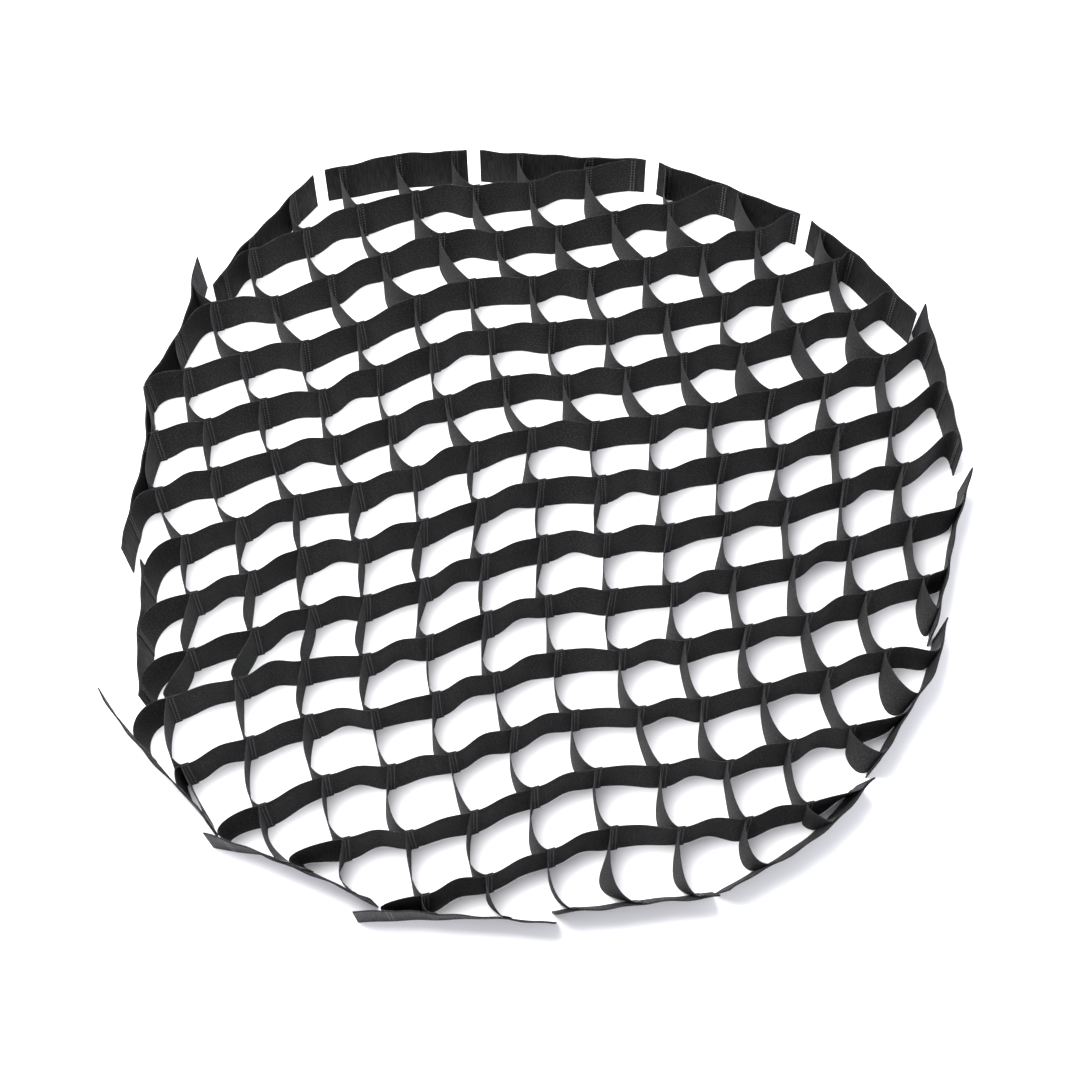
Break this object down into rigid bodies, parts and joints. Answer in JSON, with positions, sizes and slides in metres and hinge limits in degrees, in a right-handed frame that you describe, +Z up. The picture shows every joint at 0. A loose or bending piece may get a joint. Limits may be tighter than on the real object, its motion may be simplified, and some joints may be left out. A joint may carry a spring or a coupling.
{
  "type": "softbox honeycomb grid",
  "caption": "Fabric egg-crate grid for a sixteen-sided softbox: row strips on edge, C-shaped cross dividers and hook tape bands, lying loose",
  "frame": {"origin": "the middle of the footprint, on the surface that the grid lies on", "axes": "+X along the rows to the right, +Y across the rows to the far side, +Z up through the cells"},
  "size_m": [0.9264, 0.9058, 0.06],
  "materials": {
    "row_cloth": "matte woven black",
    "divider_cloth": "matte woven black",
    "hook_tape": "black hook tape with a fine pile"
  },
  "bodies": {
    "main_panel": {"row_strip_01": "row_cloth", "row_strip_02": "row_cloth", "row_strip_03": "row_cloth", "row_strip_04": "row_cloth", "row_strip_05": "row_cloth", "row_strip_06": "row_cloth", "row_strip_07": "row_cloth", "row_strip_08": "row_cloth", "cross_dividers_01": "divider_cloth", "cross_dividers_02": "divider_cloth", "cross_dividers_03": "divider_cloth", "cross_dividers_04": "divider_cloth", "cross_dividers_05": "divider_cloth", "cross_dividers_06": "divider_cloth", "cross_dividers_07": "divider_cloth", "cross_dividers_08": "divider_cloth", "cross_dividers_09": "divider_cloth", "edge_band_05": "hook_tape", "edge_band_06": "hook_tape", "edge_band_07": "hook_tape", "edge_band_08": "hook_tape", "edge_band_09": "hook_tape", "edge_band_10": "hook_tape", "edge_band_11": "hook_tape", "edge_band_12": "hook_tape", "edge_band_13": "hook_tape"},
    "far_panel": {"row_strip_09": "row_cloth", "row_strip_10": "row_cloth", "row_strip_11": "row_cloth", "row_strip_12": "row_cloth", "row_strip_13": "row_cloth", "cross_dividers_10": "divider_cloth", "cross_dividers_11": "divider_cloth", "cross_dividers_12": "divider_cloth", "cross_dividers_13": "divider_cloth", "cross_dividers_14": "divider_cloth", "edge_band_14": "hook_tape", "edge_band_15": "hook_tape", "edge_band_16": "hook_tape", "edge_band_01": "hook_tape", "edge_band_02": "hook_tape", "edge_band_03": "hook_tape", "edge_band_04": "hook_tape"}
  },
  "joints": [
    {"name": "far_fold", "type": "hinge", "parent": "main_panel", "child": "far_panel", "pos_m": [0.01205, 0.09151, 0.061], "axis": [0.9969, 0.0783, 0], "range_deg": [0, 178], "deforming": ["cross_dividers_09"]}
  ]
}
